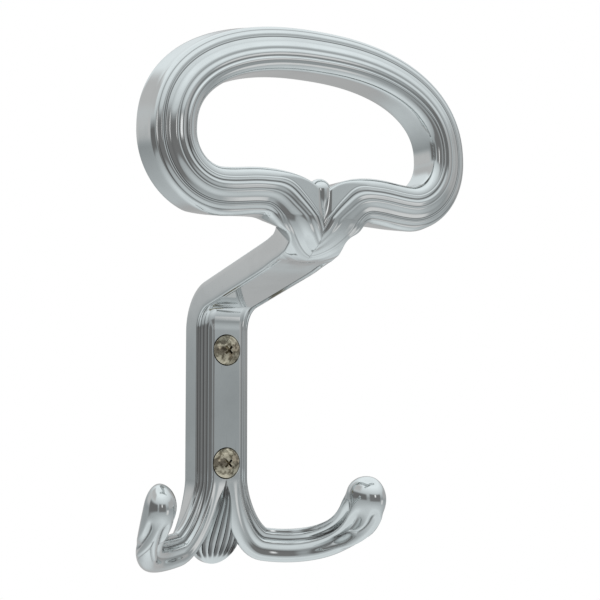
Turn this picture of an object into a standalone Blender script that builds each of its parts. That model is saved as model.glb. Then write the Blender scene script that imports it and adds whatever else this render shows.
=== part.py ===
"""Hat and coat hook: one plated casting on two raised countersunk wood screws.

Metres, +Z up. The origin lies on the wall face, midway between the screws: +X to the right, -Y into the
room. The loop, neck and plate are drawn flat, as a moulded band, and folded along the side profile. The band
then runs on into the coat hooks. Only the right half is drawn, and mirrored.
"""
import math

import bmesh
import bpy
from mathutils import Matrix, Vector
from mathutils.geometry import interpolate_bezier

# Plate and neck
PLATE_WIDTH = 0.0160
PANEL_WIDTH = 0.0100
PANEL_RISE = 0.0026
WALL_DEPTH = 0.0064
PLATE_FOOT = -0.0194
NECK_LOW = 0.0286
NECK_HIGH = 0.0405
LOWER_BEND = 0.0102
UPPER_BEND = 0.0071

# Hat loop
LOOP_WIDTH = 0.0909
LOOP_TOP = 0.0927
LOOP_WAIST = 0.0638
LOOP_FOOT = 0.0450
LOOP_REACH = 0.0568
LOOP_FLARE = 0.0006
ARCH_POWER = 0.867
BAND_WIDTH = 0.0111
BAND_DEPTH = 0.0092
LOBE_CENTRE = 0.0275
HUMP_CENTRE = 0.0157
HUMP_RISE = 0.0009
FORK_DROP = 0.0099
FORK_SWELL = 0.0034
FORK_CROWD = 0.35
FORK_FILLET = 0.0013
CROTCH_GAP = 0.0003
BUD_RADIUS = 0.0023
BUD_HEIGHT = 0.0528
BUD_TAIL = 0.0080
BUD_TAPER = 0.5

# Coat hooks
HOOK_RADIUS = 0.0291
HOOK_DROP = 0.0210
HOOK_CENTRE_OUT = 0.0160
HOOK_CENTRE_HEIGHT = -0.0174
ROOT_HEADING = math.radians(-1.7)
TIP_HEADING = math.radians(92)
HOOK_HEIGHT = 0.0088
HOOK_THICKNESS = 0.0059
BEND_SWELL = 1.045
BULB_SWELL = 1.355
HOOK_START = math.radians(-102)
HOOK_END = math.radians(-14.6)
ROOT_PULL = 0.24
BULB_START = 0.66
HOOK_FLUTE = 0.06
HOOK_TWIST = math.radians(21.6)
TWIST_START = 0.29

# Fluted tail between the hooks
TAIL_TOP = -0.0185
TAIL_END = -0.0429
TAIL_WIDTH = 0.0138
TAIL_RIM = 0.0015
TAIL_CROWN = 0.35
TAIL_FIRST = 0.15
TAIL_LAST = 0.995
TAIL_FLUTES = 5
FLUTE_DEPTH = 0.0006

# Screws
SCREW_SPACING = 0.0306
HEAD_DIAMETER = 0.0080
DOME_HEIGHT = 0.0013
SHANK_DIAMETER = 0.0040
SCREW_LENGTH = 0.0200
POINT_LENGTH = 0.0050
RECESS_SPAN = 0.0042
RECESS_SLOT = 0.0009
RECESS_DEPTH = 0.0014
SEAT_GAP = 0.0003

# Faces along each stretch of the band
ARCH_STEPS = 12
LOBE_STEPS = 8
HUMP_STEPS = 4
FORK_STEPS = 8
NECK_STEPS = 5
BEND_STEPS = 5
ROOT_STEPS = 6
HOOK_STEPS = 11
TIP_STEPS = 4
TAIL_STEPS = 12
TURN_STEPS = 28
DOME_STEPS = 4

HALF_BAR = PLATE_WIDTH / 2
PANEL_FRONT = WALL_DEPTH + PANEL_RISE
LOOP_MIDDLE = BAND_DEPTH / 2 - LOOP_REACH
PLATE_MIDDLE = -WALL_DEPTH / 2
NECK_SLOPE = math.atan2(NECK_HIGH - NECK_LOW, PLATE_MIDDLE - LOOP_MIDDLE)
NECK_TURN = math.pi / 2 - NECK_SLOPE

# Front mouldings from the inner to the outer edge: share of the width, and millimetres above the side walls
BAND_MOULDING = ((0, -0.2), (0.08, 0.5), (0.17, 0.0), (0.23, 0.8), (0.31, 1.2), (0.39, 0.6),
                 (0.56, -0.4), (0.71, -0.1), (0.80, 0.4), (0.93, 0.1), (1, -1.9))
NECK_MOULDING = ((0, 0.3), (0.2, 0.3), (0.4, 0.3), (0.58, 0.3), (0.68, 0.3), (0.75, 0.25),
                 (0.80, 0.2), (0.84, 0.15), (0.88, 0.0), (0.94, 0.5), (1, -0.4))
MARGIN_MOULDING = ((0, 0.9), (0.10, 0.5), (0.33, 0.27), (0.50, 0.35), (0.63, 0.13), (0.80, 0.20), (1, -0.15))
FRONT_POINTS = len(BAND_MOULDING)
OUTER_WALL, OUTER_BACK, BACK_MIDDLE, INNER_BACK, INNER_WALL = range(FRONT_POINTS, FRONT_POINTS + 5)
RING_POINTS = INNER_WALL + 1
INNER_POINTS = (0, INNER_BACK, INNER_WALL)


def ease(start, end, value):
    """Go smoothly from 0 at start to 1 at end."""
    share = min(max((value - start) / (end - start), 0), 1)
    return share * share * (3 - 2 * share)


def mix(first, second, share):
    """Blend two sections point by point."""
    return [a.lerp(b, share) for a, b in zip(first, second)]


# Cross-sections: x runs from the inner edge, below 0, to the outer edge, and y from the back to the front
def walled_section(front, inner, outer, depth, flare=0.0):
    """Close a front moulding with a flat back and side walls, the outer one flaring to the back."""
    back = -depth / 2
    walls = [(outer + flare / 2, 0), (outer + flare, back), (0, back), (-inner, back), (-inner, 0)]
    return [Vector(point) for point in front + walls]


def moulded_section(moulding, inner, outer, depth, crowd=1.0, flare=0.0):
    """Section with a moulding spread over its width, or crowded towards its inner edge."""
    width = inner + outer
    front = [(width * share ** crowd - inner, depth / 2 + height / 1000) for share, height in moulding]
    return walled_section(front, inner, outer, depth, flare)


def plate_section():
    """Half of the plate: the raised panel, then the stepped beads of its margin."""
    quarter, margin = PLATE_WIDTH / 4, (PLATE_WIDTH - PANEL_WIDTH) / 2
    panel_points = FRONT_POINTS - len(MARGIN_MOULDING)
    front = [(PANEL_WIDTH / 2 * step / panel_points - quarter, WALL_DEPTH / 2 + PANEL_RISE)
             for step in range(panel_points)]
    for share, height in MARGIN_MOULDING:
        front.append((PANEL_WIDTH / 2 + share * margin - quarter, WALL_DEPTH / 2 + height * PANEL_RISE))
    return walled_section(front, quarter, quarter, WALL_DEPTH)


def hook_section(swell, flute):
    """Fluted oval at the middle of the plate's thickness, with the front points over half of it."""
    behind = RING_POINTS - FRONT_POINTS
    turns = []
    for step in range(FRONT_POINTS):
        turns.append((math.pi * (1 - step / (FRONT_POINTS - 1)), swell - flute * (step % 2)))
    for step in range(behind):
        turns.append((-math.pi * (step + 1) / (behind + 1), swell))
    across, out, middle = HOOK_HEIGHT / 2, HOOK_THICKNESS / 2, PANEL_RISE / 2
    section = []
    for turn, size in turns:
        section.append(Vector((across * size * math.cos(turn), out * size * math.sin(turn) + middle)))
    return section


# The flat drawing and its folds
def fold_lengths():
    """Heights on the flat drawing where the upper bend, the neck, the lower bend and the plate begin."""
    upper = NECK_HIGH + UPPER_BEND * math.tan(NECK_TURN / 2)
    neck = upper - UPPER_BEND * NECK_TURN
    run = math.hypot(PLATE_MIDDLE - LOOP_MIDDLE, NECK_HIGH - NECK_LOW)
    lower = neck - (run - (UPPER_BEND + LOWER_BEND) * math.tan(NECK_TURN / 2))
    return upper, neck, lower, lower - LOWER_BEND * NECK_TURN


UPPER_START, NECK_START, LOWER_START, PLATE_START = fold_lengths()
PLATE_TOP = NECK_LOW - LOWER_BEND * math.tan(NECK_TURN / 2)


def fold(across, along, out):
    """Place a point of the flat drawing, out from its middle depth, on the folded side profile."""
    y, z, pitch = LOOP_MIDDLE, max(along, UPPER_START), 0.0
    if along < UPPER_START:
        pitch = (UPPER_START - max(along, NECK_START)) / UPPER_BEND
        y += UPPER_BEND * (1 - math.cos(pitch))
        z -= UPPER_BEND * math.sin(pitch)
    if along < NECK_START:
        run = NECK_START - max(along, LOWER_START)
        y += run * math.cos(NECK_SLOPE)
        z -= run * math.sin(NECK_SLOPE)
    if along < LOWER_START:
        pitch = NECK_TURN - (LOWER_START - max(along, PLATE_START)) / LOWER_BEND
        y += LOWER_BEND * (math.cos(pitch) - math.cos(NECK_TURN))
        z -= LOWER_BEND * (math.sin(NECK_TURN) - math.sin(pitch))
    if along < PLATE_START:
        z -= PLATE_START - along
    return Vector((across, y - out * math.cos(pitch), z - out * math.sin(pitch)))


def flat_path():
    """Middle of the band on the flat drawing, from the loop's top down, with its share of the fork."""
    side = (LOOP_WIDTH - BAND_WIDTH) / 2
    rise = LOOP_TOP - BAND_WIDTH / 2 - LOOP_WAIST
    dip = LOOP_FOOT + BAND_WIDTH / 2
    hump = dip + HUMP_RISE
    path = []
    for step in range(ARCH_STEPS):
        angle = math.pi / 2 * (1 - step / ARCH_STEPS)
        height = LOOP_WAIST + rise * math.sin(angle) ** ARCH_POWER
        path.append((side * math.cos(angle) ** ARCH_POWER, height, 0))
    for step in range(LOBE_STEPS):
        angle = math.pi / 2 * step / LOBE_STEPS
        path.append((LOBE_CENTRE + (side - LOBE_CENTRE) * math.cos(angle),
                     LOOP_WAIST - (LOOP_WAIST - dip) * math.sin(angle), 0))
    for step in range(HUMP_STEPS):
        share = step / HUMP_STEPS
        path.append((LOBE_CENTRE + (HUMP_CENTRE - LOBE_CENTRE) * share,
                     dip + HUMP_RISE * (1 - math.cos(math.pi * share)) / 2, 0))
    for step in range(FORK_STEPS + 1):
        share = step / FORK_STEPS
        angle = math.pi / 2 * share
        path.append((HUMP_CENTRE - (HUMP_CENTRE - HALF_BAR / 2) * math.sin(angle),
                     hump - FORK_DROP * (1 - math.cos(angle)), share))
    ends = [path[-1][1], NECK_START, LOWER_START, PLATE_START, PLATE_START - (PLATE_TOP - PLATE_FOOT)]
    for start, end, steps in zip(ends, ends[1:], (BEND_STEPS, NECK_STEPS, BEND_STEPS, 1)):
        path += [(HALF_BAR / 2, start + (end - start) * step / steps, 1) for step in range(1, steps + 1)]
    return path


def band_section(along, fork, upward):
    """Section of the band at one height on the flat drawing, where its outer edge faces upward so far."""
    half = (BAND_WIDTH + (HALF_BAR - BAND_WIDTH) * ease(0, 1, fork)) / 2
    outer = half + FORK_FILLET * math.sin(math.pi * fork) ** 2
    inner = half + FORK_SWELL * math.sin(math.pi * fork * fork)
    depth = BAND_DEPTH + (WALL_DEPTH - BAND_DEPTH) * ease(UPPER_START, NECK_START - BAND_DEPTH / 2, along)
    flare = LOOP_FLARE * (1 + upward) * (1 - fork)
    section = moulded_section(BAND_MOULDING, inner, outer, depth, 1 + FORK_CROWD * fork, flare)
    flattened = ease((UPPER_START + NECK_START) / 2, NECK_START - WALL_DEPTH, along)
    section = mix(section, moulded_section(NECK_MOULDING, inner, outer, depth), flattened)
    return mix(section, plate_section(), ease(LOWER_START, PLATE_START, along))


def band_rings():
    """Rings from the top of the loop to the plate's foot, and the index of the first ring in the crotch."""
    path = flat_path()
    spine = [Vector(stop[:2]) for stop in path]
    rings, crotch = [], None
    for index, (x, along, fork) in enumerate(path):
        before = spine[index - 1] if index else Vector((-spine[1].x, spine[1].y))
        heading = (spine[min(index + 1, len(spine) - 1)] - before).normalized()
        outward = Vector((-heading.y, heading.x))
        section = band_section(along, fork, outward.y)
        reach = -section[0].x * outward.x
        squeeze = 1.0
        if fork > 0 and reach >= x - CROTCH_GAP:
            squeeze = x / reach
            crotch = crotch or index
        ring = []
        for across, out in section:
            across *= squeeze if across < 0 else 1
            ring.append(fold(x + across * outward.x, along + across * outward.y, out))
        rings.append(ring)
    return rings, crotch


# The coat hooks
def hook_point(angle):
    """Point and heading of the right hook's middle line, in a sheet that curls forward from the plate."""
    reach = HOOK_CENTRE_OUT + HOOK_RADIUS * math.cos(HOOK_END)
    curl = (TIP_HEADING - ROOT_HEADING) / reach
    heading = ROOT_HEADING + curl * (HOOK_CENTRE_OUT + HOOK_RADIUS * math.cos(angle))
    x = HALF_BAR / 2 + (math.sin(heading) - math.sin(ROOT_HEADING)) / curl
    y = PLATE_MIDDLE - (math.cos(ROOT_HEADING) - math.cos(heading)) / curl
    return Vector((x, y, HOOK_CENTRE_HEIGHT + HOOK_DROP * math.sin(angle))), heading


def hook_path():
    """Middle line and headings of the right hook, from below the plate's foot to the middle of its bulb."""
    start = Vector((HALF_BAR / 2, PLATE_MIDDLE, PLATE_FOOT))
    first, heading = hook_point(HOOK_START)
    ahead, _ = hook_point(HOOK_START + (HOOK_END - HOOK_START) / HOOK_STEPS)
    pull = (first - start).length * ROOT_PULL
    along = (ahead - first).normalized()
    leave, arrive = start - Vector((0, 0, pull)), first - along * pull
    points = interpolate_bezier(start, leave, arrive, first, ROOT_STEPS + 1)
    path = [(point, heading * ease(0, ROOT_STEPS, step)) for step, point in enumerate(points)][1:]
    for step in range(1, HOOK_STEPS + 1):
        path.append(hook_point(HOOK_START + (HOOK_END - HOOK_START) * step / HOOK_STEPS))
    return path


def hook_rings():
    """Rings of points round the right hook, ending in its rounded bulb."""
    path = hook_path()
    points = [Vector((HALF_BAR / 2, PLATE_MIDDLE, PLATE_FOOT))] + [point for point, heading in path]
    end = (points[-1] - points[-2]).normalized()
    points.append(points[-1] + end)
    rings = []
    for index, (point, heading) in enumerate(path):
        front = Vector((-math.sin(heading), -math.cos(heading), 0))
        outward = front.cross(points[index + 2] - points[index]).normalized()
        share = index / (len(path) - 1)
        bulb = ease(BULB_START, 1, share)
        swell = 1 + (BEND_SWELL - 1) * math.sin(math.pi * share) + (BULB_SWELL - 1) * bulb
        flute = HOOK_FLUTE * (1 - bulb)
        section = mix(plate_section(), hook_section(swell, flute), ease(0, ROOT_STEPS, index + 1))
        twist = Matrix.Rotation(HOOK_TWIST * ease(TWIST_START, 1, share), 2)
        turned = [twist @ place for place in section]
        ring = [point + outward * across + front * out for across, out in turned]
        for corner in ring:
            corner.y = min(corner.y, 0)
        rings.append(ring)
    tip, reach = path[-1][0], HOOK_THICKNESS / 2 * BULB_SWELL
    for step in range(1, TIP_STEPS):
        angle = math.pi / 2 * step / TIP_STEPS
        middle = tip + end * reach * math.sin(angle)
        rings.append([middle + (point - tip) * math.cos(angle) for point in rings[len(path) - 1]])
    return rings


# Meshes and objects
def add_object(name, mesh, collection, material=None):
    obj = bpy.data.objects.new(name, mesh)
    collection.objects.link(obj)
    if material:
        mesh.materials.append(material)
    return obj


def add_bmesh(name, bm, collection, material=None):
    bmesh.ops.recalc_face_normals(bm, faces=bm.faces)
    mesh = bpy.data.meshes.new(name)
    bm.to_mesh(mesh)
    bm.free()
    mesh.shade_smooth()
    mesh.set_sharp_from_angle(angle=math.radians(35))
    return add_object(name, mesh, collection, material)


def skin(bm, rings, skip=lambda station, point: False):
    """Loft faces between consecutive rings of points, and return the rings of vertices."""
    loops = [[bm.verts.new(point) for point in ring] for ring in rings]
    for station in range(len(loops) - 1):
        here, there = loops[station], loops[station + 1]
        for point in range(len(here)):
            beside = (point + 1) % len(here)
            if not skip(station, point):
                bm.faces.new((here[point], here[beside], there[beside], there[point]))
    return loops


def add_boolean(obj, name, operand, operation):
    boolean = obj.modifiers.new(name, 'BOOLEAN')
    boolean.object = operand
    boolean.operation = operation
    boolean.solver = 'EXACT'


def make_casting(collection, material):
    rings, crotch = band_rings()
    split = len(rings)
    rings += hook_rings()
    for ring in rings[crotch:split + 1]:
        for point in INNER_POINTS:
            ring[point].x = 0.0

    def inside(station, point):
        """The two halves are one solid between the crotch of the loop and the split of the hooks."""
        return crotch <= station < split and point in (INNER_BACK, INNER_WALL)

    bm = bmesh.new()
    loops = skin(bm, rings, inside)
    bm.faces.new(loops[-1])
    bmesh.ops.delete(bm, geom=[vert for vert in bm.verts if not vert.link_faces], context='VERTS')
    casting = add_bmesh("hook_casting", bm, collection, material)
    mirror = casting.modifiers.new("Other half", 'MIRROR')
    mirror.merge_threshold = 0.00001
    return casting


def make_bud(collection):
    """Small drop in the fork of the loop, drawn out downwards into the crease."""
    bm = bmesh.new()
    bmesh.ops.create_uvsphere(bm, u_segments=TURN_STEPS // 2, v_segments=TURN_STEPS // 3, radius=BUD_RADIUS)
    for vert in bm.verts:
        if vert.co.z < 0:
            depth = -vert.co.z / BUD_RADIUS
            vert.co.z = -BUD_TAIL * depth
            vert.co.x *= 1 - BUD_TAPER * depth
    bmesh.ops.translate(bm, verts=bm.verts, vec=(0, BUD_RADIUS - LOOP_REACH, BUD_HEIGHT))
    return add_bmesh("bud", bm, collection)


def tail_rings():
    """Rings of a fluted teardrop that closes the plate's foot between the hooks, from its apex down."""
    columns = TAIL_FLUTES * 4
    rings = []
    for level in range(TAIL_STEPS + 1):
        share = TAIL_FIRST + (TAIL_LAST - TAIL_FIRST) * math.sin(math.pi / 2 * level / TAIL_STEPS)
        height = TAIL_TOP + (TAIL_END - TAIL_TOP) * share
        half = TAIL_WIDTH / 2 * math.sqrt(max(math.sin(math.pi * share * share), 0))
        front = PANEL_FRONT * math.cos(math.pi / 2 * share)
        ring = [Vector((half, 0, height)), Vector((-half, 0, height))]
        for column in range(columns + 1):
            across = 2 * column / columns - 1
            flute = FLUTE_DEPTH * math.cos(math.pi * TAIL_FLUTES * across) * share
            bulge = TAIL_RIM + front * (1 - TAIL_CROWN * across * across)
            ring.append(Vector((half * across, -bulge - flute, height)))
        rings.append(ring)
    return rings


def make_tail(collection):
    bm = bmesh.new()
    loops = skin(bm, tail_rings())
    bm.faces.new(loops[0])
    bm.faces.new(loops[-1])
    return add_bmesh("tail", bm, collection)


def turn(name, profile, collection, material=None):
    """Turn a profile of radius and height points, listed from the top down, about the Z axis."""
    mesh = bpy.data.meshes.new(name)
    points = [(radius, 0, height) for radius, height in profile]
    mesh.from_pydata(points, [(index, index + 1) for index in range(len(points) - 1)], [])
    obj = add_object(name, mesh, collection, material)
    screw = obj.modifiers.new("Turn", 'SCREW')
    screw.steps = screw.render_steps = TURN_STEPS
    screw.use_merge_vertices = True
    screw.merge_threshold = 0.00001
    return obj


def set_screw(obj, height):
    """Point the turned piece's top into the room, with its head's rim on the plate's panel."""
    obj.location = (0, -PANEL_FRONT, height)
    obj.rotation_euler = (math.pi / 2, 0, 0)


def screw_profile():
    """Raised countersunk wood screw: dome, cone, shank and point, with its rim at height 0."""
    head, shank = HEAD_DIAMETER / 2, SHANK_DIAMETER / 2
    ball = (head * head + DOME_HEIGHT * DOME_HEIGHT) / (2 * DOME_HEIGHT)
    reach = math.asin(head / ball)
    turns = [reach * step / DOME_STEPS for step in range(DOME_STEPS + 1)]
    dome = [(ball * math.sin(turn), ball * math.cos(turn) - ball + DOME_HEIGHT) for turn in turns]
    return dome + [(shank, shank - head), (shank, POINT_LENGTH - SCREW_LENGTH), (0, -SCREW_LENGTH)]


def hole_profile():
    """Countersunk hole for one screw, with a clearance all round, open at the panel and at the wall face."""
    head, shank = HEAD_DIAMETER / 2 + SEAT_GAP, SHANK_DIAMETER / 2 + SEAT_GAP
    past = 2 * DOME_HEIGHT
    return [(0, past), (head, past), (head, 0), (shank, shank - head), (shank, -PANEL_FRONT - past),
            (0, -PANEL_FRONT - past)]


def make_recess(name, height, angle, collection):
    """One slot of a screw's cross recess."""
    bm = bmesh.new()
    sides = Matrix.Diagonal((RECESS_SPAN, RECESS_SLOT, 2 * RECESS_DEPTH, 1))
    bmesh.ops.create_cube(bm, size=1, matrix=sides)
    bmesh.ops.rotate(bm, verts=bm.verts, matrix=Matrix.Rotation(angle, 3, 'Z'))
    bmesh.ops.translate(bm, verts=bm.verts, vec=(0, 0, DOME_HEIGHT))
    obj = add_bmesh(name, bm, collection)
    set_screw(obj, height)
    return obj


def make_screw(name, height, casting, collection, cutters, material):
    screw = turn(name, screw_profile(), collection, material)
    set_screw(screw, height)
    for slot, angle in (("first slot", math.pi / 4), ("second slot", -math.pi / 4)):
        add_boolean(screw, slot, make_recess(f"{name} {slot}", height, angle, cutters), 'DIFFERENCE')
    hole = turn(f"{name} hole", hole_profile(), cutters)
    set_screw(hole, height)
    add_boolean(casting, f"{name} hole", hole, 'DIFFERENCE')


def make_material(name, colour, roughness):
    material = bpy.data.materials.new(name)
    material.use_nodes = True
    shader = material.node_tree.nodes["Principled BSDF"]
    shader.inputs["Base Color"].default_value = (*colour, 1)
    shader.inputs["Metallic"].default_value = 1
    shader.inputs["Roughness"].default_value = roughness
    return material


def add_collection(name):
    collection = bpy.data.collections.new(name)
    bpy.context.scene.collection.children.link(collection)
    return collection


def main():
    for obj in list(bpy.data.objects):
        bpy.data.objects.remove(obj)
    parts = add_collection("Coat hook")
    cutters = add_collection("Cutters")
    casting = make_casting(parts, make_material("Bright plate", (0.72, 0.74, 0.74), 0.08))
    add_boolean(casting, "Bud", make_bud(cutters), 'UNION')
    add_boolean(casting, "Tail", make_tail(cutters), 'UNION')
    brass = make_material("Screw brass", (0.56, 0.45, 0.24), 0.25)
    make_screw("upper_screw", SCREW_SPACING / 2, casting, parts, cutters, brass)
    make_screw("lower_screw", -SCREW_SPACING / 2, casting, parts, cutters, brass)
    for obj in cutters.objects:
        obj.hide_render = True
        obj.display_type = 'WIRE'


main()
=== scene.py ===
"""Hat and coat hook: the dressed casting and its screws, a plain studio and the photograph's camera.

Metres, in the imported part's frame: the wall face is at y = 0, the room is towards -y, and +z is up.
The loop, the neck and the plate are drawn flat as one moulded band and folded along the side profile. The
band then runs on into the coat hooks. Only the right half is drawn, and mirrored.
"""
from math import asin, atan2, cos, hypot, pi, radians, sin, sqrt, tan, tau

import bmesh
import bpy
from bpy.props import FloatProperty, FloatVectorProperty, PointerProperty
from mathutils import Matrix, Vector
from mathutils.geometry import interpolate_bezier


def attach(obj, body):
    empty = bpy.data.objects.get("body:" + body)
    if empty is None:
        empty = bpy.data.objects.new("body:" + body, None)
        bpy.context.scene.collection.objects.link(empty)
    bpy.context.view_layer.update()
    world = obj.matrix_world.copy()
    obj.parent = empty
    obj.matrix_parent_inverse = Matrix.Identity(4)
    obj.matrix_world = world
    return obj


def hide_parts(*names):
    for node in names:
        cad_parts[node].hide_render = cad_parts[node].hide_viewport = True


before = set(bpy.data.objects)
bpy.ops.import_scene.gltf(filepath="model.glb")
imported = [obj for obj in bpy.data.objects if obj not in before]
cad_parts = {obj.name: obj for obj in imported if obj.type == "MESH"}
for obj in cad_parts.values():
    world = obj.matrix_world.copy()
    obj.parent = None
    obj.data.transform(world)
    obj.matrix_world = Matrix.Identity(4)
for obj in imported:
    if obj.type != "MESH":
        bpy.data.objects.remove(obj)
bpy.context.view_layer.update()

bl_info = {
    "name": "Hat and coat hook",
    "version": (1, 0, 0),
    "blender": (4, 5, 0),
    "location": "3D View > Sidebar > Coat hook",
    "description": "Models a plated hat and coat hook, its two screws and a plain studio",
    "category": "Add Mesh",
}

BODY = "root"
MM = 0.001

# Distances under which points are merged: all points, points near the middle plane, and mirrored points
WELD = 0.001 * MM
MIDDLE_SNAP = 0.02 * MM
MIRROR_MERGE = 0.01 * MM

# Front mouldings from the inner to the outer edge: share of the front, and the height in millimetres of a
# crest or a hollow
BAND_MOULDING = ((0, 0), (0.07, 0.2), (0.155, -0.15), (0.27, 0.16), (0.385, 0), (0.46, 0.12), (0.66, -0.28),
                 (0.765, -0.26), (0.81, -0.12), (0.90, 0.1), (1, 0))
NECK_MOULDING = ((0, 0.3), (0.80, 0.3), (0.88, 0.0), (0.95, 0.55), (1, 0.45))
PLATE_MOULDING = ((0, 2.6), (0.50, 2.6), (0.72, 1.25), (0.77, 1.2), (0.82, 0.8), (0.87, 0.75), (0.92, 0.35),
                  (0.955, 0.3), (1, 0.1))
HOOK_MOULDING = ((0, 0), (0.26, 0.15), (0.42, -0.6), (0.56, 0.25), (0.66, -0.6), (0.75, 0.25), (0.83, -0.5),
                 (0.91, 0.2), (1, 0))

# Band and fork: the share of the crown's fall that lies above its level, the crests of the lip and the outer
# bead in the moulding, the straight share of the bead's rise, the share of the fork in which the moulding
# turns, and where the step to the neck ends
CROWN_ABOVE = 0.5
LIP_SHARE = 0.06
BEAD_SHARE = 0.83
BEAD_STRAIGHT = 0.45
FORK_TURN = 0.5
STEP_END = 1.12

# Radii of the edges: the outer ones across and out, on the neck and on the loop
LOOP_INNER_EDGE = 2.2 * MM
FORK_INNER_EDGE = 0.6 * MM
NECK_OUTER_EDGE = (0.4 * MM, 0.6 * MM)
LOOP_OUTER_EDGE = (1.1 * MM, 2.0 * MM)
BAND_BACK_EDGE = 0.7 * MM
PLATE_OUTER_EDGE = (0.3 * MM, 0.5 * MM)
PLATE_BACK_EDGE = 0.3 * MM

# Spans of a hook, in shares of its length, in which its leaf rises and ends and its flutes deepen and end
LEAF_RISES = (0.64, 0.74)
LEAF_ENDS = (0.93, 0.99)
FLUTES_DEEPEN = (0.45, 0.75)
FLUTES_END = (0.87, 0.99)
FLUTE_GROWTH = 1.2

# Leaf in radians round a hook's section: half width of its edges, and place and half width of the hollows
LEAF_EDGE_SPAN = 0.22
LEAF_HOLLOW_PLACE = 0.52
LEAF_HOLLOW_SPAN = 0.36

# Tail: its flutes, the share of its length where it starts, the spans in which it swells and its flutes start
# and end, its rim and swell in front of its curve, and how far its front falls to the sides
TAIL_FLUTES = 7
TAIL_START = 0.06
TAIL_SWELLS = (TAIL_START, 0.3)
TAIL_FLUTES_START = (TAIL_START, 0.4)
TAIL_FLUTES_END = (0.78, 0.95)
TAIL_RIM = 0.3 * MM
TAIL_SWELL = 1.2 * MM
TAIL_CROWN = 0.35
BUD_TAPER = 0.5

# Screws: clearance in the holes, rounding of the rim, narrowing of the recess along and across its slots, how
# deep the thread sits in the core, and half its width in pitches
SEAT_GAP = 0.3 * MM
RIM_ROUND = 0.05 * MM
RIM_DEPTH = 0.12 * MM
RECESS_TAPER = (0.5, 0.7)
THREAD_ROOT = 0.2 * MM
THREAD_FLANK = 0.35

# Faces round a ring, along each stretch of the casting, and on the other pieces
FRONT_FACES = 72
CORNER_FACES = 8
WALL_FACES = 6
ARCH_STEPS = 44
LOBE_STEPS = 30
HUMP_STEPS = 12
FORK_STEPS = 104
UPPER_BEND_STEPS = 48
NECK_STEPS = 12
LOWER_BEND_STEPS = 20
PLATE_STEPS = 6
ROOT_STEPS = 24
HOOK_STEPS = 64
TIP_STEPS = 14
TAIL_COLUMNS = 112
TAIL_LEVELS = 60
BUD_FACES = (32, 24)
TURN_STEPS = 64
THREAD_STEPS = 24

# Bends that stay sharp, and the radius whose hollow bend gets the full painted shade, on the casting and on
# the tail
CASTING_SHARP = radians(40)
TAIL_SHARP = radians(50)
SCREW_SHARP = radians(35)
PAINTED_SHADE_RADIUS = 0.8 * MM
TAIL_PAINTED_SHADE_RADIUS = 3 * MM

# Buffed metal: share of the grain in its unevenness, and the noise over which smudges and gloss change
GRAIN_SHARE = 0.04
SMUDGE_RANGE = (0.44, 0.61)
GLOSS_RANGE = (0.3, 0.75)
NODE_SPACING = 220

# Light tent: brightness at each elevation, and soft patches. A patch has an azimuth from straight in front,
# an elevation, a half width, a half height and a softness, all in degrees, and a brightness
TENT_RADIUS = 1.2
TENT_TINT = (0.94, 1.0, 1.02)
TENT_LEVELS = ((-90, 0.80), (-60, 0.88), (-40, 0.68), (-22, 0.52), (0, 0.38), (14, 0.59), (32, 0.83),
               (55, 1.06), (90, 1.0))
TENT_PATCHES = (
    ("dark left", -98, 3, 36, 13, 10, 0.18),
    ("dim high left", -125, 36, 36, 14, 16, 0.58),
    ("back left", -152, 13, 14, 7, 8, 0.62),
    ("dark front", -14, 3, 34, 17, 10, 0.21),
    ("bright low right", 40, -16, 10, 9, 6, 0.80),
    ("right", 75, 10, 24, 12, 10, 0.50),
    ("back right", 142, 0, 32, 30, 14, 0.49),
    ("strip lamp", -17, 13, 4, 6, 6, 1.2),
)
PATCH_SOCKETS = ("Centre azimuth", "Centre elevation", "Half width", "Half height", "Softness")

# Floor, world and camera
FLOOR_RADIUS = 6
AMBIENT_TINT = (0.8, 0.82, 0.83, 1)
AMBIENT_STRENGTH = 0.6
WHITE = (1, 1, 1, 1)
SENSOR_WIDTH = 36
NEAREST_SEEN = 0.01


# Settings
def length(name, description, default):
    """Setting in metres."""
    return FloatProperty(name=name, description=description, default=default, unit='LENGTH', precision=4)


def share(name, description, default):
    """Setting that is a share or a factor."""
    return FloatProperty(name=name, description=description, default=default, soft_min=0, soft_max=2)


def angle(name, description, degrees):
    """Setting that is an angle, given in degrees."""
    return FloatProperty(name=name, description=description, default=radians(degrees), subtype='ANGLE')


def colour(name, description, default):
    """Setting that is a colour."""
    return FloatVectorProperty(name=name, description=description, default=default, size=3, min=0, max=1,
                               subtype='COLOR')


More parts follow.
